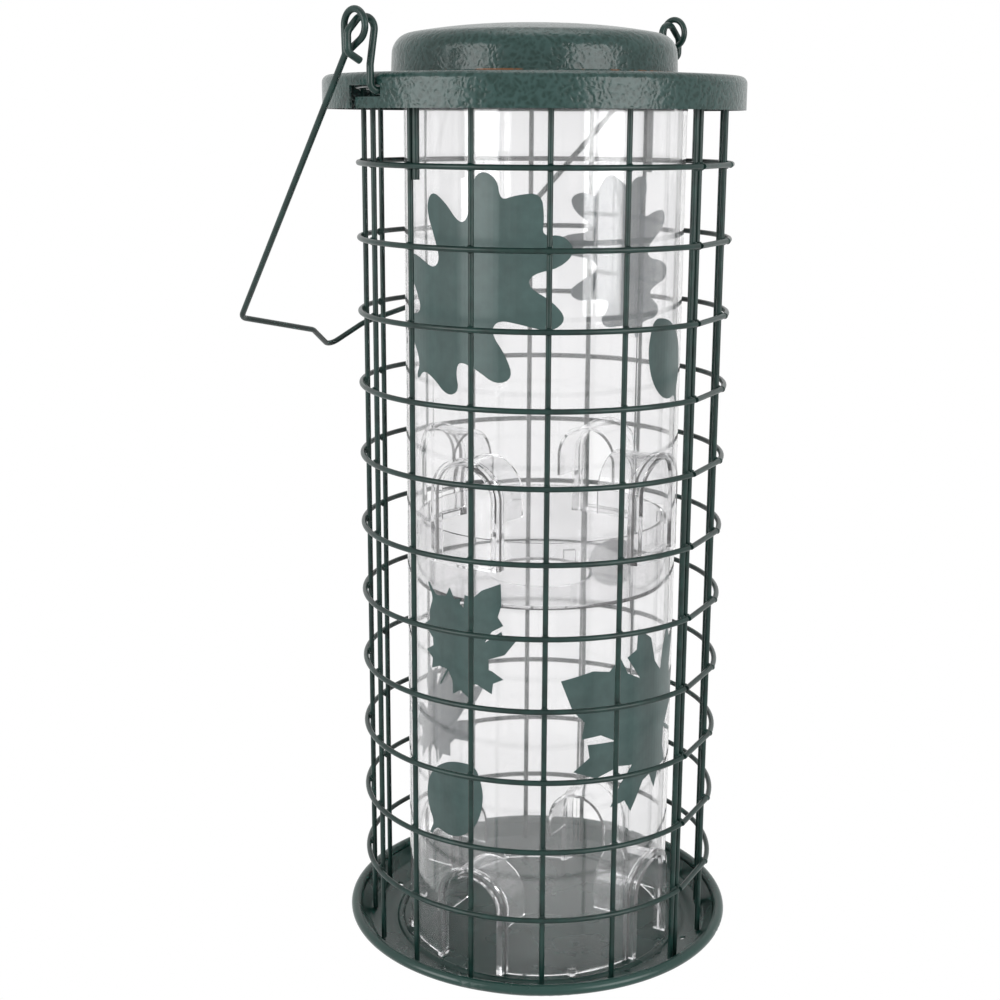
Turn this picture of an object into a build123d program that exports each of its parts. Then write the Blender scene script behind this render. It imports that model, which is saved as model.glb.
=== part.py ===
from build123d import *

import os
from math import acos, asin, atan2, cos, degrees, radians, sin, sqrt

# Hanging bird feeder: a clear seed tube inside a welded wire cage that stands in a pressed tray.
# A slotted lid closes the top, and a wire bail swings on two hooks.
# Millimetres. +Z is up, -Y is the front, and the origin is the centre of the tray's underside.
# Angles are measured about +Z from the front, positive towards +X.

# ---- wire cage ----
cage_radius = 66.0  # to the centre line of the ring wires
ring_wire = 1.9
upright_wire = 1.9
ring_count = 12
ring_pitch = 26.05
first_ring_z = 31.9
upright_overrun = 2.5  # how far the uprights stand above the top ring
weld_gap = 0.08
seam_angle = 53.3  # where one end of the mesh sheet lies
seam_lap = 2.4  # the sheet's other end stops this far short of it
cell_angle = 21.93
cell_count = 13
stretched_cell_angle = 23.3  # the sheet is stretched a little on its way to the seam
stretched_cell_count = 2
ring_end = 0.8  # how far a ring runs past the last upright
ring_bend_swell = 0.15  # the coating is this much fuller at a ring's bend
ring_bend_outset = 0.12  # and it gathers a little to the outside

# ---- tray ----
sheet = 1.0
tray_seat_inset = 8.5  # from the cage's radius in to the edge of the flat middle
tray_foot_inset = 0.2  # from the cage's radius in to where the wall turns up
tray_foot_rise = 2.2
tray_wall_spread = 3.6
tray_wall_height = 4.6
lip_wire = 2.0  # radius of the rolled lip
bead_height = 0.9  # pressed bead that keeps the tube in the middle
bead_clearance = 0.9
bead_width = 2.6
drain_radius = 1.3
drain_angle = 70.0

# ---- seed tube ----
tube_radius = 50.0
tube_wall = 1.5
tube_foot_gap = 0.05
lug_height = 2.6
lug_radius = 1.6

# ---- doorways ----
doors_per_tier = 4
door_half_width = 12.0
rim_thickness = 2.0
rim_proud = 1.6  # how far a rim stands out of the tube
rim_inside = 1.6  # how far it stands in
door_fit = 0.1
arch_centre_height = 24.5  # above the foot of the doorway
hood_foot_height = 16.7
hood_wall = 1.2
hood_depth = 18.0  # from the tube's outside in to the hood's inner end
lower_tier_angle = -30.0
upper_tier_angle = -33.0
upper_tier_height = 153.5  # from the lower doorways' foot to the upper ones'

# ---- seed cup behind the upper doorways ----
cup_wall = 1.2
cup_gap = 0.6
cup_above_foot = 10.0
cup_below_foot = 14.0
cup_hole_radius = 20.0
cup_lug = 4.0

# ---- lid ----
lid_sheet = 0.8
lid_play = 6.55  # between the cage and the inside of the band
lid_shift = -4.0  # the loose lid sits to one side
lid_seat_gap = 0.3
band_height = 11.4
band_corner = 2.2
dome_radius = 50.3
dome_shoulder = 13.0
dome_rise = 17.5
dome_foot_corner = 1.6
dome_shoulder_corner = 7.0
tube_to_lid = 0.5

# ---- bayonet slots ----
slot_drop = 6.0  # from the top of the flange down to the middle of the slot
slot_height = 3.7
slot_width = 3.8
slot_end_clearance = 0.7
lock_turn = 10.0

# ---- hook wires ----
hook_wire = 2.4
hook_angle = -43.0
hook_upright = 12  # the upright that the first hook's leg lies beside
hook_leg_overrun = 4.5  # below the first ring under the lid
hook_gap = 0.55  # between the band and the shank
hook_side_gap = 0.3  # between the leg and the upright that it lies beside
hook_lean_height = 2.0  # above the flange
crook_back = 4.8  # from the crook's crest in to its shank
crook_front = 7.0  # from the crest out to its tail
crook_slope = 4.8  # how far the front shoulder drops, on a 45 degree slope
crook_tail = 11.0  # from the crest down to where the tail turns in
crook_tail_end = 13.4
crook_tail_in = 2.0
crook_bend = 3.4
front_crook_outset = 2.2
front_crook_rise = 16.5
back_crook_outset = -2.4
back_crook_rise = 20.4
eye_out = 4.0  # from the crook's crest out to the middle of the bail's eye
eye_drop = 2.8  # and down to it

# ---- bail ----
bail_wire = 2.2
eye_radius = 5.0
eye_neck = 9.6  # from the eye's centre to where it joins the leg
leg_offset = 2.6  # the legs lie this far to the lid's side of the eyes' middle
bail_tilt = 44.6  # below the horizontal, at rest against the band
bail_corner_half = 57.0
bail_corner_reach = 144.5
bail_knee_half = 13.5
bail_knee_reach = 159.6
bail_tip_reach = 172.8
bail_bar_shift = -1.3  # the cross bar is bent a little off the middle
bail_tip_shift = -2.0  # and the tip of its V a little further
bail_corner_bend = 5.0
bail_knee_bend = 7.0
bail_tip_bend = 4.5

# ---- worked out from the sizes above ----
full_turn = 360.0
tall = 1000.0
upright_radius = cage_radius - ring_wire / 2 - upright_wire / 2 - weld_gap
top_ring_z = first_ring_z + ring_pitch * (ring_count - 1)
cage_top = top_ring_z + upright_overrun
flange_top = cage_top + lid_seat_gap + lid_sheet
band_radius = cage_radius + ring_wire / 2 + lid_play + lid_sheet
tube_foot = sheet + tube_foot_gap
hood_reach = tube_radius - hood_depth
tray_seat_radius = cage_radius - tray_seat_inset
tray_foot_radius = cage_radius - tray_foot_inset
tube_top = cage_top + lid_seat_gap - tube_to_lid
slot_z = flange_top - slot_drop
shank_radius = band_radius + hook_wire / 2 + hook_gap
hook_leg_radius = cage_radius - ring_wire / 2 - hook_wire / 2 - weld_gap
front_crook_radius = shank_radius + front_crook_outset
back_crook_radius = shank_radius + back_crook_outset
front_crook_z = flange_top + front_crook_rise
back_crook_z = flange_top + back_crook_rise


def around(radius, angle, z=0.0, shift=0.0):
    """A point at an angle from the front, about an axis moved sideways by shift."""
    return Vector(shift + radius * sin(radians(angle)), -radius * cos(radians(angle)), z)


def turned(shape, angle):
    """The shape turned about +Z."""
    return Rot(0, 0, angle) * shape


def rod(start, end, radius):
    """A straight round wire between two points."""
    run = end - start
    return Plane(origin=start, z_dir=run) * extrude(Circle(radius), run.length)


def bent_wire(points, bends, radius):
    """A round wire along straight runs joined by tangent bends."""
    path = FilletPolyline(*points, radius=bends)
    start = path @ 0
    return sweep(Plane(origin=start, z_dir=path % 0) * Circle(radius), path=path.wire())


def sheet_section(points, bends, thickness):
    """The cut face of a bent sheet in the XZ plane, from its middle line and the bend at each corner."""
    runs = [(b - a).normalized() for a, b in zip(points, points[1:])]
    sides = []
    for side in (1.0, -1.0):
        line = []
        radii = []
        for i, point in enumerate(points):
            before = runs[max(i - 1, 0)]
            after = runs[min(i, len(runs) - 1)]
            normal = (Vector(-before.Y, before.X) + Vector(-after.Y, after.X)).normalized()
            mitre = normal.dot(Vector(-before.Y, before.X))
            line.append(point + normal * (side * thickness / 2 / mitre))
            if 0 < i < len(points) - 1:
                left_turn = before.X * after.Y - before.Y * after.X > 0
                inner = left_turn == (side > 0)
                radii.append(bends[i - 1] + (-thickness / 2 if inner else thickness / 2))
        sides.append(FilletPolyline(*line, radius=radii))
    ends = [Line(sides[0] @ t, sides[1] @ t) for t in (0, 1)]
    outline = [sides[0].edges(), ends[1].edges(), sides[1].edges(), ends[0].edges()]
    return Plane.XZ * make_face(outline)


def spun(face):
    """The face revolved about +Z."""
    return revolve(face, Axis.Z, full_turn)


def hollow_cylinder(outer, inner, low, high):
    """A plain tube between two heights."""
    return Pos(0, 0, low) * extrude(Circle(outer) - Circle(inner), high - low)


# ---- cage ----
def upright_angles():
    """The angle of each upright, from the seam round the back to the seam again."""
    angles = [seam_angle + cell_angle * k for k in range(cell_count + 1)]
    angles += [angles[-1] + stretched_cell_angle * (k + 1) for k in range(stretched_cell_count)]
    return angles + [seam_angle - seam_lap]


def upright(angle):
    """One straight wire that stands on the tray."""
    foot = around(upright_radius, angle, tray_surface(upright_radius))
    return rod(foot, around(upright_radius, angle, cage_top), upright_wire / 2)


def ring(z):
    """One ring wire: round, but straight over the first cell after the seam."""
    second = seam_angle + cell_angle
    sweep_angle = full_turn - cell_angle - seam_lap + degrees(ring_end / cage_radius)
    section = Plane.XZ * (Pos(cage_radius, 0) * Circle(ring_wire / 2))
    arc = turned(revolve(section, Axis.Z, sweep_angle), second - 90)
    seam = around(cage_radius, seam_angle)
    corner = around(cage_radius, second)
    start = seam + (seam - corner).normalized() * ring_end
    chord = rod(start, corner, ring_wire / 2)
    knuckle_at = around(cage_radius + ring_bend_outset, second)
    knuckle = Pos(knuckle_at) * Sphere(ring_wire / 2 + ring_bend_swell)
    return Pos(0, 0, z) * (arc + knuckle + chord)


# ---- tray ----
bead_radius = tube_radius + lug_radius + bead_clearance + bead_width / 2
tray_line = [
    Vector(0, sheet / 2),
    Vector(bead_radius - bead_width / 2, sheet / 2),
    Vector(bead_radius - bead_width / 6, sheet / 2 + bead_height),
    Vector(bead_radius + bead_width / 6, sheet / 2 + bead_height),
    Vector(bead_radius + bead_width / 2, sheet / 2),
    Vector(tray_seat_radius, sheet / 2),
    Vector(tray_foot_radius, sheet / 2 + tray_foot_rise),
    Vector(tray_foot_radius + tray_wall_spread, sheet / 2 + tray_foot_rise + tray_wall_height),
]
tray_bends = [0.6, 0.6, 0.6, 0.6, 9.0, 2.0]


def tray_surface(radius):
    """Height of the tray's upper face on the gentle slope where the uprights stand."""
    slope = tray_foot_rise / (tray_foot_radius - tray_seat_radius)
    run = radius + upright_wire / 2 - tray_seat_radius
    return sheet / 2 + slope * run + sheet / 2 * sqrt(1 + slope * slope) + weld_gap


def tray():
    """The pressed dish with its rolled lip and drain holes."""
    dish = spun(sheet_section(tray_line, tray_bends, sheet))
    lip_centre = tray_line[-1] + Vector(lip_wire * 0.9, lip_wire * 0.3)
    lip = spun(Plane.XZ * (Pos(lip_centre.X, lip_centre.Y) * Circle(lip_wire)))
    body = dish + lip
    drain_from_axis = (bead_radius + bead_width / 2 + upright_radius) / 2
    for k in range(doors_per_tier):
        hole_at = around(drain_from_axis, drain_angle + full_turn / doors_per_tier * k)
        body -= Pos(hole_at) * Cylinder(drain_radius, tall)
    return body


# ---- doorways ----
def arch(half_width, centre_height, foot_height):
    """The face of a round-topped doorway, in the XZ plane."""
    top = centre_height + half_width
    outline = Pos(0, (foot_height + top) / 2) * Rectangle(2 * half_width, top - foot_height)
    corners = Pos(0, centre_height + half_width) * Rectangle(2 * half_width, 2 * half_width)
    return Plane.XZ * (outline - (corners - Pos(0, centre_height) * Circle(half_width)))


def arch_block(half_width, foot_height, near, far):
    """A doorway's outline carried along -Y from near to far."""
    face = arch(half_width, arch_centre_height, foot_height)
    return Pos(0, -near, 0) * extrude(face, far - near)


def door_angles(first):
    """The angles of one tier's doorways."""
    return [first + full_turn / doors_per_tier * k for k in range(doors_per_tier)]


rim_half_width = door_half_width + rim_thickness
tube_bore = tube_radius - tube_wall


def port(angle, foot, closed_foot):
    """The clear moulding in one doorway: a rim in the wall and a hood that reaches in."""
    sill = rim_thickness if closed_foot else -rim_thickness
    beyond = tube_radius + 2 * rim_proud
    frame = arch_block(rim_half_width, 0.0, 0.0, beyond)
    frame -= arch_block(door_half_width, sill, 0.0, beyond)
    top = rim_half_width + arch_centre_height
    shell = hollow_cylinder(tube_radius + rim_proud, tube_bore - rim_inside, 0.0, top)
    rim = frame & shell
    hood_outer = arch_block(door_half_width + hood_wall, hood_foot_height, hood_reach, beyond)
    hood_inner = arch_block(door_half_width, hood_foot_height - 1, hood_reach - 1, beyond)
    core = Cylinder(tube_bore - rim_inside / 2, tall)
    hood = (hood_outer - hood_inner) & core
    return Pos(0, 0, foot) * turned(rim + hood, angle)


def doorway(angle, foot, below):
    """The hole that one port fits in."""
    half_width = rim_half_width + door_fit
    cut = arch_block(half_width, -below, hood_reach, tube_radius + 10)
    return Pos(0, 0, foot) * turned(cut, angle)


upper_foot = tube_foot + upper_tier_height


# ---- seed tube ----
def seed_tube():
    """The clear tube with its doorways and the small lugs that centre it in the tray's bead."""
    body = hollow_cylinder(tube_radius, tube_bore, tube_foot, tube_top)
    for angle in door_angles(lower_tier_angle):
        body -= doorway(angle, tube_foot, 1.0)
        lug_at = around(tube_radius, angle + full_turn / doors_per_tier / 2, tube_foot)
        body += Pos(lug_at) * extrude(Circle(lug_radius), lug_height)
    for angle in door_angles(upper_tier_angle):
        body -= doorway(angle, upper_foot, door_fit)
    return body


def seed_cup():
    """The cup with a centre hole that holds seed behind the upper doorways."""
    outer = tube_bore - rim_inside - cup_gap
    low = upper_foot - cup_below_foot
    high = upper_foot + cup_above_foot
    wall = hollow_cylinder(outer, outer - cup_wall, low, high)
    floor = hollow_cylinder(outer, cup_hole_radius, low, low + cup_wall)
    body = wall + floor
    stand_off = tube_bore - weld_gap - outer
    for angle in door_angles(upper_tier_angle + full_turn / doors_per_tier / 2):
        lug_at = around(outer + stand_off / 2 - cup_wall / 2, angle, high - cup_lug)
        lug = Pos(lug_at) * turned(Box(cup_lug, stand_off + cup_wall, cup_lug), angle)
        body += lug & Cylinder(tube_bore - weld_gap, tall)
    return body


# ---- hooks ----
def hook_leg_angle(side):
    """The angle about the cage of a hook's leg, which lies beside an upright."""
    beside = degrees((upright_wire / 2 + hook_wire / 2 + hook_side_gap) / hook_leg_radius)
    return upright_angles()[hook_upright] + beside + (0.0 if side > 0 else full_turn / 2)


def hook(side, crest_radius, crest_z):
    """One hook wire: leg inside the cage, out through the lid's slot, up the band and over in a crook."""
    angle = hook_angle + (0.0 if side > 0 else full_turn / 2)
    leg_angle = hook_leg_angle(side)
    crook = [
        (-crook_back, 0.0),
        (crook_front - crook_slope, 0.0),
        (crook_front, -crook_slope),
        (crook_front, -crook_tail),
        (crook_tail_in, -crook_tail_end),
    ]
    points = [
        around(hook_leg_radius, leg_angle, top_ring_z - ring_pitch - hook_leg_overrun),
        around(hook_leg_radius, leg_angle, slot_z),
        around(shank_radius, angle, slot_z, lid_shift),
        around(shank_radius, angle, flange_top + hook_lean_height, lid_shift),
    ]
    points += [around(crest_radius + out, angle, crest_z + up, lid_shift) for out, up in crook]
    bends = [3.0, 2.6, 6.0, crook_bend, crook_bend, 3.0, 2.2]
    return bent_wire(points, bends, hook_wire / 2)


# ---- lid ----
lid_line = [
    Vector(band_radius - lid_sheet / 2, flange_top - band_height),
    Vector(band_radius - lid_sheet / 2, flange_top - lid_sheet / 2),
    Vector(dome_radius - lid_sheet / 2, flange_top - lid_sheet / 2),
    Vector(dome_radius - lid_sheet / 2 - 0.6, flange_top + dome_shoulder),
    Vector(dome_radius / 2, flange_top + dome_rise - lid_sheet / 2),
    Vector(0, flange_top + dome_rise - lid_sheet / 2),
]
lid_bends = [band_corner, dome_foot_corner, dome_shoulder_corner, 200.0]


def wire_at_band(side):
    """The angle about the lid's axis where a hook wire passes through the band."""
    inner = around(hook_leg_radius, hook_leg_angle(side))
    outer = around(shank_radius, hook_angle + (0.0 if side > 0 else full_turn / 2), 0.0, lid_shift)
    centre = Vector(lid_shift, 0)
    run = (outer - inner).normalized()
    start = inner - centre
    along = -start.dot(run)
    miss = (start + run * along).length
    radius = band_radius - lid_sheet / 2
    crossing = start + run * (along + sqrt(radius * radius - miss * miss))
    return degrees(atan2(crossing.X, -crossing.Y))


def slot_block(first, last, low, high):
    """A block that cuts the band between two angles about the lid's axis and two heights."""
    half_reach = band_radius + 5
    wedge = Plane.XZ * (Pos(half_reach - 5, (low + high) / 2) * Rectangle(20, high - low))
    return turned(revolve(wedge, Axis.Z, last - first), first - 90)


def lid():
    """The pressed lid with its two L-shaped bayonet slots."""
    body = spun(sheet_section(lid_line, lid_bends, lid_sheet))
    end = degrees(asin((hook_wire / 2 + slot_end_clearance) / band_radius))
    mouth = degrees(asin(slot_width / 2 / band_radius))
    for side in (1, -1):
        wire = wire_at_band(side)
        open_end = wire - lock_turn
        low = slot_z - slot_height / 2
        body -= slot_block(open_end - mouth, wire + end, low, low + slot_height)
        body -= slot_block(open_end - mouth, open_end + mouth, flange_top - band_height - 1, slot_z)
    return Pos(lid_shift, 0, 0) * body


# ---- bail ----
def bail_plane():
    """The bail's own frame: X along its hinge towards the front hook, Y down the legs."""
    front = around(front_crook_radius + eye_out, hook_angle, front_crook_z - eye_drop, lid_shift)
    opposite = hook_angle + full_turn / 2
    back = around(back_crook_radius + eye_out, opposite, back_crook_z - eye_drop, lid_shift)
    along = (front - back).normalized()
    level = Vector(0, 0, 1).cross(along).normalized() * -1
    down = level.cross(along)
    if down.Z > 0:
        down = down * -1
    legs = level * cos(radians(bail_tilt)) + down * sin(radians(bail_tilt))
    half_span = (front - back).length / 2
    return Plane(origin=(front + back) / 2, x_dir=along, z_dir=along.cross(legs)), half_span


def eye(half_span, side):
    """One drop-shaped eye in the plane across the hinge, with its neck at the leg's end."""
    x = side * half_span
    tip = Vector(x, eye_neck, leg_offset)
    lean = atan2(leg_offset, eye_neck)
    opening = acos(eye_radius / sqrt(eye_neck * eye_neck + leg_offset * leg_offset))
    arms = []
    for turn in (1, -1):
        touch = lean + turn * opening
        tangent = Vector(x, eye_radius * cos(touch), eye_radius * sin(touch))
        arms.append(rod(tangent, tip, bail_wire / 2))
    section = Plane.XZ * (Pos(eye_radius, 0) * Circle(bail_wire / 2))
    loop = turned(revolve(section, Axis.Z, full_turn - 2 * degrees(opening)), degrees(lean + opening))
    across = Plane(origin=(x, 0, 0), x_dir=(0, 1, 0), z_dir=(1, 0, 0))
    return across * loop + arms[0] + arms[1] + Pos(tip) * Sphere(bail_wire / 2)


def bail():
    """The swinging handle: legs, cross bar with a V in its middle, and an eye at each end."""
    plane, half_span = bail_plane()
    bar = [
        (bail_corner_half + bail_bar_shift, bail_corner_reach),
        (bail_knee_half + bail_bar_shift, bail_knee_reach),
        (bail_bar_shift + bail_tip_shift, bail_tip_reach),
        (bail_bar_shift - bail_knee_half, bail_knee_reach),
        (bail_bar_shift - bail_corner_half, bail_corner_reach),
    ]
    outline = [(half_span, eye_neck), *bar, (-half_span, eye_neck)]
    points = [Vector(along, reach, leg_offset) for along, reach in outline]
    bends = [bail_corner_bend, bail_knee_bend, bail_tip_bend, bail_knee_bend, bail_corner_bend]
    body = bent_wire(points, bends, bail_wire / 2)
    for side in (1, -1):
        body += eye(half_span, side)
    return plane * body


def build():
    """Every piece of the feeder, by name."""
    pieces = {"tray": tray()}
    for k, angle in enumerate(upright_angles()):
        pieces[f"upright_{k + 1:02d}"] = upright(angle)
    for k in range(ring_count):
        pieces[f"ring_{k + 1:02d}"] = ring(first_ring_z + ring_pitch * k)
    pieces["seed_tube"] = seed_tube()
    pieces["seed_cup"] = seed_cup()
    for k, angle in enumerate(door_angles(lower_tier_angle)):
        pieces[f"port_lower_{k + 1}"] = port(angle, tube_foot, False)
    for k, angle in enumerate(door_angles(upper_tier_angle)):
        pieces[f"port_upper_{k + 1}"] = port(angle, upper_foot, True)
    pieces["hook_front"] = hook(1, front_crook_radius, front_crook_z)
    pieces["hook_back"] = hook(-1, back_crook_radius, back_crook_z)
    pieces["lid"] = lid()
    pieces["bail"] = bail()
    return pieces


os.makedirs("parts", exist_ok=True)
for name, piece in build().items():
    export_step(piece, f"parts/{name}.step")

hinge, half_span = bail_plane()
print("bail hinge", hinge.origin, hinge.x_dir, round(half_span, 3))
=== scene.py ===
"""Hanging bird feeder: finishes, printed leaves and a plain stage around the fixed frame."""

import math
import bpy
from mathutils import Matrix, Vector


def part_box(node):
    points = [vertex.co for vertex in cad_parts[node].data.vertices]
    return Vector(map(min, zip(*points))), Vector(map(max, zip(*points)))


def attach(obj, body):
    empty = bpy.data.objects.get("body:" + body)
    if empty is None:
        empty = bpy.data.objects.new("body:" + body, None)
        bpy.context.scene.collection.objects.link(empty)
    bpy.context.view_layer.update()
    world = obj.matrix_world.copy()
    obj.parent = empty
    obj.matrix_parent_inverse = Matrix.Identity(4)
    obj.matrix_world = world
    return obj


bl_info = {
    "name": "Hanging bird feeder",
    "version": (1, 0, 0),
    "blender": (4, 5, 0),
    "location": "View3D > Sidebar > Bird feeder",
    "description": "Finishes a caged seed feeder with enamel, coated wire, clear plastic and printed leaves",
    "category": "Object",
}

import bpy
from bpy.props import FloatProperty, FloatVectorProperty
from mathutils import Euler, Matrix, Vector

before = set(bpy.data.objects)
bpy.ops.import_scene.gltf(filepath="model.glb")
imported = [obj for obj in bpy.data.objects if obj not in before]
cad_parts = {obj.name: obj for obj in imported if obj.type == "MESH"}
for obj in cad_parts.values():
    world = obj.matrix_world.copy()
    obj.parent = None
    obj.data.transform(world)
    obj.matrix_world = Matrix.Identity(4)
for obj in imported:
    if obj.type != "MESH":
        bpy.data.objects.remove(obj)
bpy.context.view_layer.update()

MM = 0.001
TUBE_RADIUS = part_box("seed_tube")[1].x
TUBE_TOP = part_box("seed_tube")[1].z
BAND_HEIGHT = 11.4 * MM
FLANGE_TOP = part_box("lid")[0].z + BAND_HEIGHT
WORN_LEVEL = FLANGE_TOP + 0.7 * MM
WORN_HALF_WIDTH = 0.55 * MM
LEAF_STRIP = 2.0 * MM
MERGE_DISTANCE = 0.001 * MM
RING_NAMES = sorted(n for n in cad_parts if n.startswith("ring_"))
UPRIGHT_NAMES = sorted(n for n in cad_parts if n.startswith("upright_"))
PORT_NAMES = sorted(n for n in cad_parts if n.startswith("port_"))


# ---- settings ----
class EnamelSettings(bpy.types.PropertyGroup):
    """Colours of the pressed lid and tray."""

    base: FloatVectorProperty(
        name="Enamel", description="Main colour of the hammered enamel", subtype="COLOR", size=3,
        default=(0.0060, 0.0310, 0.0250),
    )
    # The paler fleck colour is partly the hammered finish's own flecks and partly a painted highlight on the
    # dimples' raised rims.
    fleck_and_painted_glint: FloatVectorProperty(
        name="Enamel highlights", description="Paler flecks in the hammered enamel", subtype="COLOR",
        size=3, default=(0.0240, 0.0620, 0.0560),
    )
    rust: FloatVectorProperty(
        name="Bare edge", description="Brown where the enamel is thin on a pressed edge", subtype="COLOR",
        size=3, default=(0.16, 0.060, 0.016),
    )
    fleck: FloatProperty(
        name="Fleck size", description="Width of one fleck of the hammered finish", subtype="DISTANCE",
        default=1.5 * MM,
    )


class WireSettings(bpy.types.PropertyGroup):
    """Colour of the coated wires."""

    coat: FloatVectorProperty(
        name="Wire coating", description="Colour of the dipped wire coating", subtype="COLOR", size=3,
        default=(0.0075, 0.0270, 0.0225),
    )
    dab_radius: FloatProperty(
        name="Weld size", description="Radius of the coating gathered at a weld", subtype="DISTANCE",
        default=1.25 * MM,
    )


class PlasticSettings(bpy.types.PropertyGroup):
    """The clear parts."""

    tint: FloatVectorProperty(
        name="Clear plastic", description="Tint of the clear plastic", subtype="COLOR", size=3,
        default=(0.990, 0.988, 0.993),
    )
    roughness: FloatProperty(
        name="Plastic roughness", description="Haze of the clear plastic", subtype="FACTOR", default=0.03,
        min=0.0, max=1.0,
    )
    clearness: FloatProperty(
        name="Clearness", description="How much light the plastic lets straight through", subtype="FACTOR",
        default=0.93, min=0.0, max=1.0,
    )


class LeafSettings(bpy.types.PropertyGroup):
    """The printed leaves."""

    ink: FloatVectorProperty(
        name="Leaf print", description="Colour of the printed leaves", subtype="COLOR", size=3,
        default=(0.050, 0.093, 0.088),
    )
    back: FloatVectorProperty(
        name="Print's back", description="Colour of the print seen through the tube", subtype="COLOR",
        size=3, default=(0.170, 0.235, 0.250),
    )
    stand_off: FloatProperty(
        name="Print height", description="How far the print stands off the tube", subtype="DISTANCE",
        default=0.06 * MM,
    )
    thickness: FloatProperty(
        name="Print thickness", description="Thickness of the printed ink", subtype="DISTANCE",
        default=0.08 * MM,
    )


class StageSettings(bpy.types.PropertyGroup):
    """Floor and camera."""

    floor: FloatVectorProperty(
        name="Floor", description="Colour of the floor", subtype="COLOR", size=3, default=(0.80, 0.80, 0.80),
    )
    camera_distance: FloatProperty(
        name="Camera distance", description="From the feeder's axis to the camera", subtype="DISTANCE",
        default=580.1 * MM,
    )
    camera_height: FloatProperty(
        name="Camera height", description="Height of the camera above the floor", subtype="DISTANCE",
        default=306.5 * MM,
    )
    camera_pitch: FloatProperty(
        name="Camera pitch", description="Downward tilt", subtype="ANGLE", default=math.radians(13.342),
    )
    camera_yaw: FloatProperty(
        name="Camera yaw", description="Turn to the left", subtype="ANGLE", default=math.radians(1.519),
    )
    camera_roll: FloatProperty(
        name="Camera roll", description="Turn about the line of sight", subtype="ANGLE", default=0.0043,
    )
    camera_lens: FloatProperty(
        name="Camera lens", description="Focal length", subtype="DISTANCE_CAMERA", default=57.42,
    )


# ---- small helpers ----
def tidy_selection():
    """Leaves object mode with nothing selected."""
    if bpy.context.mode != "OBJECT":
        bpy.ops.object.mode_set(mode="OBJECT")
    bpy.ops.object.select_all(action="DESELECT")


def settle(piece):
    """Moves a piece's place into its mesh, so that its object sits at the origin."""
    tidy_selection()
    piece.select_set(True)
    bpy.context.view_layer.objects.active = piece
    bpy.ops.object.transform_apply(location=True, rotation=True, scale=True)


def dress(node, material):
    """Gives a frame node its finish."""
    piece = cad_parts[node]
    piece.data.materials.clear()
    piece.data.materials.append(material)


def new_material(name):
    """An empty node material with its output, and its tree."""
    material = bpy.data.materials.new(name)
    material.use_nodes = True
    tree = material.node_tree
    tree.nodes.clear()
    output = tree.nodes.new("ShaderNodeOutputMaterial")
    return material, tree, output


def node(tree, kind, **settings):
    """A new node. Capitalised settings fill its sockets, and the rest are its own properties."""
    made = tree.nodes.new(kind)
    for key, value in settings.items():
        if key[0].isupper():
            made.inputs[key.replace("_", " ")].default_value = value
        else:
            setattr(made, key, value)
    return made


def rgba(colour):
    return (*colour, 1.0)


def colour_ramp(tree, factor, low_at, low, high_at, high):
    """A ramp between two colours, driven by a factor."""
    ramp = node(tree, "ShaderNodeValToRGB")
    for end, place, colour in zip(ramp.color_ramp.elements, (low_at, high_at), (low, high)):
        end.position = place
        end.color = rgba(colour)
    tree.links.new(factor, ramp.inputs["Fac"])
    return ramp.outputs["Color"]


def spread(tree, factor, low, high):
    """A factor from 0 to 1 spread between two values."""
    spreader = node(tree, "ShaderNodeMapRange", To_Min=low, To_Max=high)
    tree.links.new(factor, spreader.inputs["Value"])
    return spreader.outputs["Result"]


def noise(tree, place, **settings):
    """A noise pattern fixed to the piece."""
    pattern = node(tree, "ShaderNodeTexNoise", **settings)
    tree.links.new(place, pattern.inputs["Vector"])
    return pattern


def on_piece(tree):
    """The place on the piece that its patterns are fixed to."""
    return node(tree, "ShaderNodeTexCoord").outputs["Object"]


def finish(tree, output, height, strength, distance, colour=None, rough=None, **settings):
    """The surface: a bump from a height, a principled shader, and its colour and roughness if they vary."""
    bump = node(tree, "ShaderNodeBump", Strength=strength, Distance=distance)
    shader = node(tree, "ShaderNodeBsdfPrincipled", **settings)
    tree.links.new(height, bump.inputs["Height"])
    tree.links.new(bump.outputs["Normal"], shader.inputs["Normal"])
    for source, socket in ((colour, "Base Color"), (rough, "Roughness")):
        if source:
            tree.links.new(source, shader.inputs[socket])
    tree.links.new(shader.outputs["BSDF"], output.inputs["Surface"])


# ---- finishes ----
def hammered_enamel(settings):
    """Dark green hammered enamel: paler flecks on the dimples' raised rims, partly the finish's own flecks
    and partly a painted highlight, soft dimples, and brown where the dome's foot is worn.
    """
    material, tree, output = new_material("hammered enamel")
    link = tree.links.new
    place = on_piece(tree)
    warp = noise(tree, place, Scale=0.35 / settings.fleck, Detail=2.0)
    cells = node(tree, "ShaderNodeTexVoronoi", feature="SMOOTH_F1", Scale=1 / settings.fleck, Smoothness=0.7)
    push = node(tree, "ShaderNodeMixRGB", blend_type="LINEAR_LIGHT", Fac=settings.fleck * 1.4)
    link(place, push.inputs["Color1"])
    link(warp.outputs["Color"], push.inputs["Color2"])
    link(push.outputs["Color"], cells.inputs["Vector"])
    flecks = cells.outputs["Distance"]
    blotch = noise(tree, place, Scale=0.3 / settings.fleck, Detail=4.0, Roughness=0.6).outputs["Fac"]
    worn = node(tree, "ShaderNodeMixRGB", Color2=rgba(settings.rust))
    link(worn_edge(tree, place), worn.inputs["Fac"])
    # Painted highlight: the ramp turns paler towards the dimples' raised rims, partly the finish's own
    # flecks.
    link(colour_ramp(tree, flecks, 0.24, settings.base, 0.64, settings.fleck_and_painted_glint), worn.inputs["Color1"])
    rough = spread(tree, blotch, 0.18, 0.30)
    finish(tree, output, flecks, 0.50, 0.30 * MM, worn.outputs["Color"], rough, Specular_IOR_Level=0.40)
    return material


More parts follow.
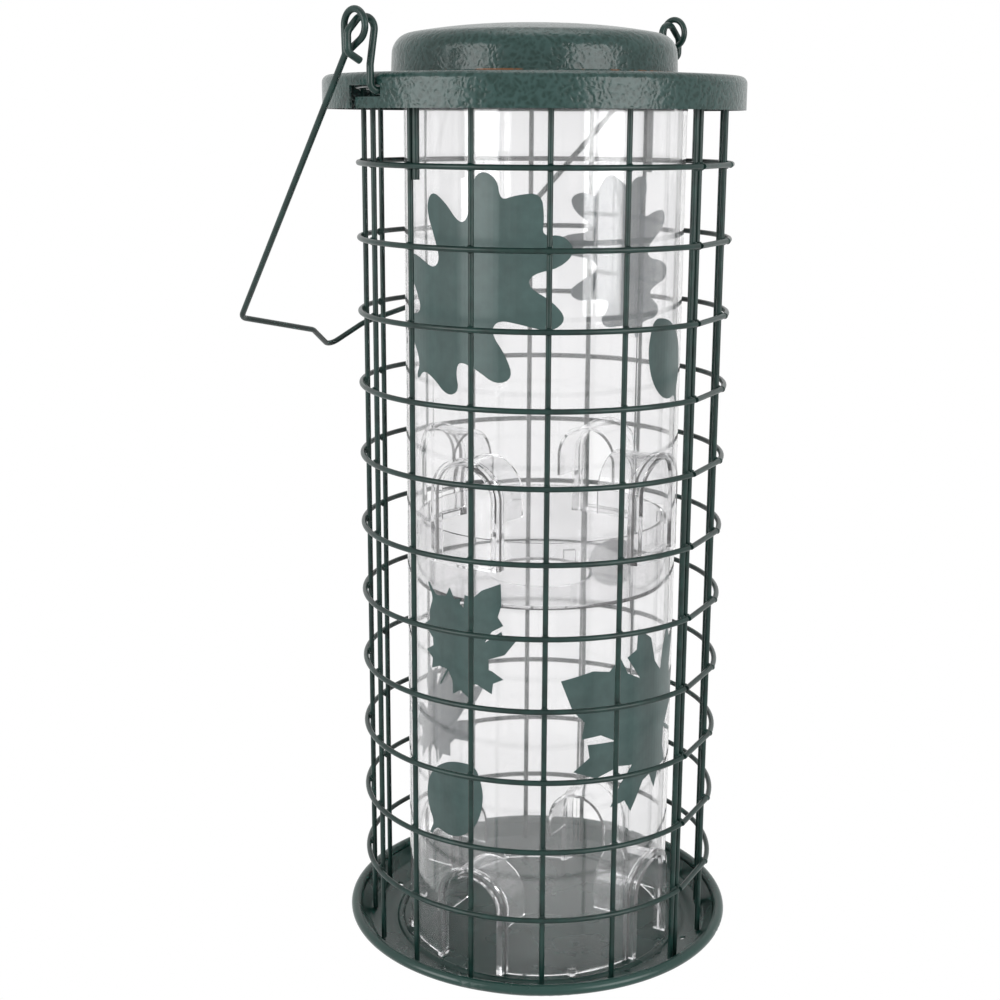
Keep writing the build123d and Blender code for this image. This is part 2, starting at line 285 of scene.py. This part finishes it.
def worn_edge(tree, place):
    """A mask of broken patches along the dome's foot."""
    parts = node(tree, "ShaderNodeSeparateXYZ")
    tree.links.new(place, parts.inputs["Vector"])
    level = node(tree, "ShaderNodeMath", operation="COMPARE")
    level.inputs[1].default_value = WORN_LEVEL
    level.inputs[2].default_value = WORN_HALF_WIDTH
    tree.links.new(parts.outputs["Z"], level.inputs[0])
    broken = noise(tree, place, Scale=55.0, Detail=5.0, Roughness=0.7).outputs["Fac"]
    mask = node(tree, "ShaderNodeMath", operation="MULTIPLY")
    tree.links.new(level.outputs["Value"], mask.inputs[0])
    tree.links.new(colour_ramp(tree, broken, 0.50, (0, 0, 0), 0.60, (1, 1, 1)), mask.inputs[1])
    return mask.outputs["Value"]


def gloss_enamel(settings):
    """The tray's smoother enamel: the same green with soft cloudiness and a little orange peel."""
    material, tree, output = new_material("gloss enamel")
    place = on_piece(tree)
    cloud = noise(tree, place, Scale=40.0, Detail=4.0).outputs["Fac"]
    peel = noise(tree, place, Scale=600.0, Detail=2.0).outputs["Fac"]
    deep, light = ([c * k for c in settings.base] for k in (1.1, 1.7))
    colour = colour_ramp(tree, cloud, 0.3, deep, 0.75, light)
    rough = spread(tree, cloud, 0.20, 0.34)
    finish(tree, output, peel, 0.12, 0.10 * MM, colour, rough, Specular_IOR_Level=0.45)
    return material


def leaf_ink(name, base):
    """Flat printing ink with the slight unevenness of a screen print."""
    material, tree, output = new_material(name)
    grain = noise(tree, on_piece(tree), Scale=260.0, Detail=3.0).outputs["Fac"]
    deep, light = ([c * k for c in base] for k in (0.9, 1.12))
    colour = colour_ramp(tree, grain, 0.3, deep, 0.7, light)
    finish(tree, output, grain, 0.08, 0.04 * MM, colour, Roughness=0.35)
    return material


def coated_wire(settings):
    """Dipped green wire: satin, a little uneven, with fine grain."""
    material, tree, output = new_material("coated wire")
    place = on_piece(tree)
    runs = noise(tree, place, Scale=180.0, Detail=3.0).outputs["Fac"]
    grain = noise(tree, place, Scale=900.0, Detail=2.0).outputs["Fac"]
    deep, light = ([c * k for c in settings.coat] for k in (0.7, 1.5))
    colour = colour_ramp(tree, runs, 0.3, deep, 0.7, light)
    rough = spread(tree, grain, 0.22, 0.42)
    finish(tree, output, runs, 0.25, 0.12 * MM, colour, rough, Specular_IOR_Level=0.35)
    return material


def clear_plastic(settings):
    """Polished clear plastic with the faint waviness of a moulded wall."""
    material, tree, output = new_material("clear plastic")
    waves = noise(tree, on_piece(tree), Scale=22.0, Detail=2.0).outputs["Fac"]
    finish(
        tree, output, waves, 0.08, 0.5 * MM, Base_Color=rgba(settings.tint), Roughness=settings.roughness,
        IOR=1.49, Transmission_Weight=settings.clearness,
    )
    return material


# ---- stage ----
class FEEDER_OT_stage(bpy.types.Operator):
    """Adds the floor, the soft lamps, the world and the camera"""

    bl_idname = "feeder.stage"
    bl_label = "Stage"

    def execute(self, context):
        settings = context.scene.feeder_stage
        tidy_selection()
        bpy.ops.mesh.primitive_plane_add(size=30.0, location=(0, 0, 0))
        floor = context.active_object
        floor.name = "floor"
        settle(floor)
        material, tree, output = new_material("floor")
        matt = node(tree, "ShaderNodeBsdfDiffuse", Color=rgba(settings.floor))
        white = node(tree, "ShaderNodeEmission", Strength=1.0)
        mix = node(tree, "ShaderNodeMixShader")
        tree.links.new(white_to_sight(tree), mix.inputs["Fac"])
        tree.links.new(matt.outputs["BSDF"], mix.inputs[1])
        tree.links.new(white.outputs["Emission"], mix.inputs[2])
        tree.links.new(mix.outputs["Shader"], output.inputs["Surface"])
        floor.data.materials.append(material)
        light_world(context.scene)
        for name, place, power, size in (
            ("left softbox", (-1.15, -0.85, 0.50), 12.0, 0.90),
            ("right softbox", (1.05, -0.95, 0.50), 12.0, 0.90),
            ("top", (0.1, 0.2, 1.9), 5.0, 1.0),
        ):
            add_lamp(name, Vector(place), power, size)
        add_camera(context.scene, settings)
        return {"FINISHED"}


def white_to_sight(tree):
    """1 for what the camera sees, straight, in a reflection or through the plastic, and 0 for light."""
    seen = node(tree, "ShaderNodeLightPath")
    through = node(tree, "ShaderNodeMath", operation="MAXIMUM")
    either = node(tree, "ShaderNodeMath", operation="MAXIMUM")
    tree.links.new(seen.outputs["Is Camera Ray"], through.inputs[0])
    tree.links.new(seen.outputs["Is Transmission Ray"], through.inputs[1])
    tree.links.new(through.outputs["Value"], either.inputs[0])
    tree.links.new(seen.outputs["Is Glossy Ray"], either.inputs[1])
    return either.outputs["Value"]


def light_world(scene):
    """Even white surroundings."""
    world = bpy.data.worlds.new("surroundings")
    scene.world = world
    world.use_nodes = True
    tree = world.node_tree
    tree.nodes.clear()
    output = tree.nodes.new("ShaderNodeOutputWorld")
    dim = node(tree, "ShaderNodeBackground", Color=(1, 1, 1, 1), Strength=0.35)
    white = node(tree, "ShaderNodeBackground", Color=(1, 1, 1, 1), Strength=1.0)
    mix = node(tree, "ShaderNodeMixShader")
    tree.links.new(white_to_sight(tree), mix.inputs["Fac"])
    tree.links.new(dim.outputs["Background"], mix.inputs[1])
    tree.links.new(white.outputs["Background"], mix.inputs[2])
    tree.links.new(mix.outputs["Shader"], output.inputs["Surface"])
    scene.view_settings.view_transform = "Standard"


def add_lamp(name, place, power, size):
    """A square soft lamp that looks at the middle of the feeder."""
    tidy_selection()
    bpy.ops.object.light_add(type="AREA", location=place)
    lamp = bpy.context.active_object
    lamp.name = name
    lamp.data.energy = power
    lamp.data.size = size
    aim = Vector((0, 0, TUBE_TOP / 2)) - place
    lamp.rotation_euler = aim.to_track_quat("-Z", "Y").to_euler()


def add_camera(scene, settings):
    """A camera a little above the lid, looking down along the cage."""
    tidy_selection()
    bpy.ops.object.camera_add()
    camera = bpy.context.active_object
    camera.name = "camera"
    camera.data.lens = settings.camera_lens
    camera.data.sensor_width = 36.0
    level = Euler((math.pi / 2 - settings.camera_pitch, 0, settings.camera_yaw)).to_matrix().to_4x4()
    roll = Matrix.Rotation(settings.camera_roll, 4, "Z")
    place = Matrix.Translation((0, -settings.camera_distance, settings.camera_height))
    camera.matrix_world = place @ level @ roll
    scene.camera = camera


# ---- frame finishes ----
class FEEDER_OT_enamel(bpy.types.Operator):
    """Finishes the pressed lid and tray"""

    bl_idname = "feeder.enamel"
    bl_label = "Lid and tray enamel"

    def execute(self, context):
        dress("lid", hammered_enamel(context.scene.feeder_enamel))
        dress("tray", gloss_enamel(context.scene.feeder_enamel))
        return {"FINISHED"}


class FEEDER_OT_wires(bpy.types.Operator):
    """Finishes the cage, the hooks and the bail"""

    bl_idname = "feeder.wires"
    bl_label = "Coated wires"

    def execute(self, context):
        material = coated_wire(context.scene.feeder_wire)
        for name in (*RING_NAMES, *UPRIGHT_NAMES, "hook_front", "hook_back", "bail"):
            dress(name, material)
        return {"FINISHED"}


class FEEDER_OT_plastic(bpy.types.Operator):
    """Finishes the seed tube, its ports and the cup"""

    bl_idname = "feeder.plastic"
    bl_label = "Clear plastic"

    def execute(self, context):
        material = clear_plastic(context.scene.feeder_plastic)
        for name in ("seed_tube", "seed_cup", *PORT_NAMES):
            dress(name, material)
        return {"FINISHED"}


# ---- welds ----
class FEEDER_OT_welds(bpy.types.Operator):
    """Adds the coating gathered where the cage's wires cross"""

    bl_idname = "feeder.welds"
    bl_label = "Weld dabs"

    def execute(self, context):
        radius = context.scene.feeder_wire.dab_radius
        dabs = []
        for ring_name in RING_NAMES:
            low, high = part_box(ring_name)
            for upright_name in UPRIGHT_NAMES:
                place = crossing(upright_name, (low.z + high.z) / 2)
                tidy_selection()
                bpy.ops.mesh.primitive_uv_sphere_add(segments=8, ring_count=6, radius=radius, location=place)
                dab = context.active_object
                dab.rotation_euler = (0, 0, math.atan2(place.y, place.x))
                dab.scale = (0.8, 1.15, 1.15)
                dabs.append(dab)
        tidy_selection()
        for dab in dabs:
            dab.select_set(True)
        context.view_layer.objects.active = dabs[0]
        bpy.ops.object.transform_apply(location=True, rotation=True, scale=True)
        bpy.ops.object.join()
        welds = context.active_object
        welds.name = "weld_dabs"
        bpy.ops.object.shade_smooth()
        settle(welds)
        welds.data.materials.append(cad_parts["bail"].data.materials[0])
        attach(welds, "feeder")
        return {"FINISHED"}


def crossing(upright_name, height):
    """Where an upright touches the inside of a ring."""
    low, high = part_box(upright_name)
    middle = (low + high) / 2
    flat = Vector((middle.x, middle.y, 0.0))
    half = (high.x - low.x) / 2
    place = flat + flat.normalized() * half
    place.z = height
    return place


# ---- printed leaves ----
OAK_HALF = (
    (0.014, 0.00), (0.020, 0.06), (0.10, 0.09), (0.22, 0.09), (0.26, 0.15), (0.19, 0.20), (0.17, 0.25),
    (0.26, 0.28), (0.38, 0.29), (0.42, 0.36), (0.33, 0.41), (0.21, 0.44), (0.20, 0.50), (0.30, 0.55),
    (0.42, 0.60), (0.44, 0.68), (0.34, 0.70), (0.21, 0.68), (0.19, 0.73), (0.27, 0.82), (0.28, 0.91),
    (0.19, 0.93), (0.12, 0.87), (0.08, 0.93), (0.0, 1.0),
)
MAPLE_HALF = (
    (0.012, -0.20), (0.016, 0.0), (0.14, -0.05), (0.24, -0.16), (0.30, -0.06), (0.46, -0.06), (0.38, 0.06),
    (0.44, 0.12), (0.68, 0.14), (0.62, 0.24), (0.70, 0.34), (0.52, 0.34), (0.36, 0.30), (0.40, 0.42),
    (0.54, 0.56), (0.56, 0.74), (0.42, 0.68), (0.34, 0.74), (0.24, 0.54), (0.24, 0.68), (0.32, 0.80),
    (0.20, 0.84), (0.16, 0.96), (0.0, 1.14),
)
OVAL_HALF = (
    (0.016, -0.16), (0.02, 0.0), (0.15, 0.06), (0.25, 0.18), (0.30, 0.36), (0.29, 0.55), (0.22, 0.76),
    (0.12, 0.90), (0.0, 1.0),
)
# name, half outline, rounded, (angle in degrees, height in mm) of stem and tip, width over the plain leaf
LEAVES = (
    ("leaf_oak_front", OAK_HALF, True, (-61.0, 219.0), (-1.0, 284.0), 0.90),
    ("leaf_oval_right", OVAL_HALF, True, (70.0, 213.0), (50.0, 241.0), 1.20),
    ("leaf_oak_back", OAK_HALF, True, (132.0, 226.0), (150.0, 288.0), 1.0),
    ("leaf_oval_back", OVAL_HALF, True, (155.0, 127.0), (127.0, 143.0), 1.1),
    ("leaf_maple_front", MAPLE_HALF, False, (-41.0, 115.0), (-19.0, 146.0), 0.76),
    ("leaf_oval_middle", OVAL_HALF, True, (-49.0, 141.0), (-22.0, 112.0), 1.0),
    ("leaf_maple_back", MAPLE_HALF, False, (-118.0, 62.0), (-140.0, 98.0), 0.8),
    ("leaf_oval_low", OVAL_HALF, True, (-49.0, 53.0), (-27.0, 81.0), 1.3),
    ("leaf_maple_right", MAPLE_HALF, False, (68.0, 88.0), (16.0, 112.0), 0.98),
)


def rounded_outline(points):
    """The closed outline with each corner cut twice."""
    for _ in range(2):
        cut = []
        for a, b in zip(points, points[1:] + points[:1]):
            cut += [a.lerp(b, 0.25), a.lerp(b, 0.75)]
        points = cut
    return points


def leaf_outline(half, rounded, stem, tip, width):
    """A leaf's outline on the unrolled tube, in metres along it and up it."""
    start = Vector((math.radians(stem[0]) * TUBE_RADIUS, stem[1] * MM))
    end = Vector((math.radians(tip[0]) * TUBE_RADIUS, tip[1] * MM))
    along = end - start
    across = Vector((along.y, -along.x)) * width
    right = [start + along * y + across * x for x, y in half]
    left = [start + along * y - across * x for x, y in reversed(half[:-1])]
    points = right + left
    return rounded_outline(points) if rounded else points


class FEEDER_OT_leaves(bpy.types.Operator):
    """Prints the leaves on the seed tube"""

    bl_idname = "feeder.leaves"
    bl_label = "Printed leaves"

    def execute(self, context):
        settings = context.scene.feeder_leaf
        inks = leaf_ink("leaf print", settings.ink), leaf_ink("back of leaf print", settings.back)
        for name, half, rounded, stem, tip, width in LEAVES:
            piece = cut_leaf(name, leaf_outline(half, rounded, stem, tip, width))
            lay_round_tube(piece, TUBE_RADIUS + settings.stand_off)
            thicken_print(piece, settings.thickness, inks)
            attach(piece, "feeder")
        return {"FINISHED"}


def cut_leaf(name, outline):
    """A flat leaf cut into strips narrow enough to follow the tube."""
    tidy_selection()
    bpy.ops.mesh.primitive_circle_add(vertices=len(outline), radius=1.0, fill_type="NGON")
    piece = bpy.context.active_object
    piece.name = name
    signed = sum(a.x * b.y - b.x * a.y for a, b in zip(outline, outline[1:] + outline[:1]))
    if signed < 0:
        outline = outline[::-1]
    circle = sorted(piece.data.vertices, key=lambda v: math.atan2(v.co.y, v.co.x))
    for vertex, point in zip(circle, outline):
        vertex.co = (point.x, point.y, 0.0)
    bpy.ops.object.mode_set(mode="EDIT")
    bpy.ops.mesh.select_all(action="SELECT")
    bpy.ops.mesh.quads_convert_to_tris(quad_method="BEAUTY", ngon_method="BEAUTY")
    low = min(point.x for point in outline)
    high = max(point.x for point in outline)
    for k in range(1, math.ceil((high - low) / LEAF_STRIP)):
        bpy.ops.mesh.select_all(action="SELECT")
        bpy.ops.mesh.bisect(plane_co=(low + LEAF_STRIP * k, 0, 0), plane_no=(1, 0, 0))
    bpy.ops.mesh.select_all(action="SELECT")
    bpy.ops.mesh.remove_doubles(threshold=MERGE_DISTANCE)
    bpy.ops.mesh.normals_make_consistent(inside=False)
    bpy.ops.object.mode_set(mode="OBJECT")
    if piece.data.polygons[0].normal.z < 0:
        piece.data.flip_normals()
    return piece


def lay_round_tube(piece, radius):
    """Wraps a flat leaf round the tube's outside."""
    for vertex in piece.data.vertices:
        angle = vertex.co.x / TUBE_RADIUS
        vertex.co = (radius * math.sin(angle), -radius * math.cos(angle), vertex.co.y)


def thicken_print(piece, thickness, inks):
    """Gives the print its thickness, its ink, and a paler ink on the side towards the tube."""
    solid = piece.modifiers.new("thickness", "SOLIDIFY")
    solid.thickness = thickness
    solid.offset = 1.0
    bpy.ops.object.modifier_apply(modifier=solid.name)
    for ink in inks:
        piece.data.materials.append(ink)
    for face in piece.data.polygons:
        towards = Vector((face.center.x, face.center.y, 0.0)).normalized()
        face.material_index = 1 if face.normal.dot(towards) < -0.5 else 0


class FEEDER_PT_sidebar(bpy.types.Panel):
    """The feeder's steps and settings"""

    bl_idname = "FEEDER_PT_sidebar"
    bl_label = "Bird feeder"
    bl_space_type = "VIEW_3D"
    bl_region_type = "UI"
    bl_category = "Bird feeder"

    def draw(self, context):
        for settings in SETTINGS:
            box = self.layout.box()
            group = getattr(context.scene, settings)
            for name in group.__annotations__:
                box.prop(group, name)
        for step in STEPS:
            self.layout.operator(step.bl_idname)


SETTINGS = {
    "feeder_enamel": EnamelSettings,
    "feeder_wire": WireSettings,
    "feeder_plastic": PlasticSettings,
    "feeder_leaf": LeafSettings,
    "feeder_stage": StageSettings,
}
STEPS = (
    FEEDER_OT_stage, FEEDER_OT_enamel, FEEDER_OT_wires, FEEDER_OT_plastic, FEEDER_OT_welds, FEEDER_OT_leaves,
)


def register():
    for name, group in SETTINGS.items():
        bpy.utils.register_class(group)
        setattr(bpy.types.Scene, name, bpy.props.PointerProperty(type=group))
    for step in (*STEPS, FEEDER_PT_sidebar):
        bpy.utils.register_class(step)


def unregister():
    for step in reversed((*STEPS, FEEDER_PT_sidebar)):
        bpy.utils.unregister_class(step)
    for name, group in SETTINGS.items():
        delattr(bpy.types.Scene, name)
        bpy.utils.unregister_class(group)


def main():
    register()
    for step in STEPS:
        area, call = step.bl_idname.split(".")
        getattr(getattr(bpy.ops, area), call)()


if __name__ == "__main__":
    main()
